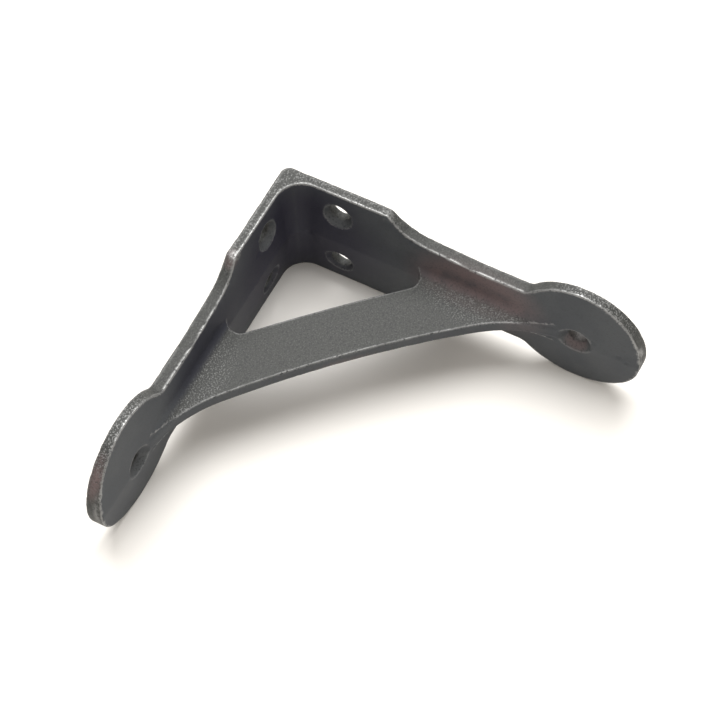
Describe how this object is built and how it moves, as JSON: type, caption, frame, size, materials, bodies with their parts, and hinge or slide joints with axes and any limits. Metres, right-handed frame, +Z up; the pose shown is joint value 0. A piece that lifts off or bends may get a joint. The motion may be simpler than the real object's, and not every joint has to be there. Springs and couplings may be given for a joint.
{
  "type": "gallows shelf bracket",
  "caption": "Cast iron gallows shelf bracket: two equal arms at a right angle, a pierced web between them and countersunk screw holes.",
  "frame": {"origin": "on the ground, under the middle of the bracket's square footprint, with the bracket lying on its side", "axes": "+Z up, across the width of the straps; +X along the arm that goes under the shelf, away from the corner; +Y along the arm that goes on the wall, away from the corner"},
  "size_m": [0.1212, 0.1212, 0.0422],
  "materials": {
    "black_iron": "dark grey cast skin with a fine grain, bare metal on the worn edges and light brown rust in places"
  },
  "bodies": {
    "root": {"bracket": "black_iron"}
  },
  "joints": []
}
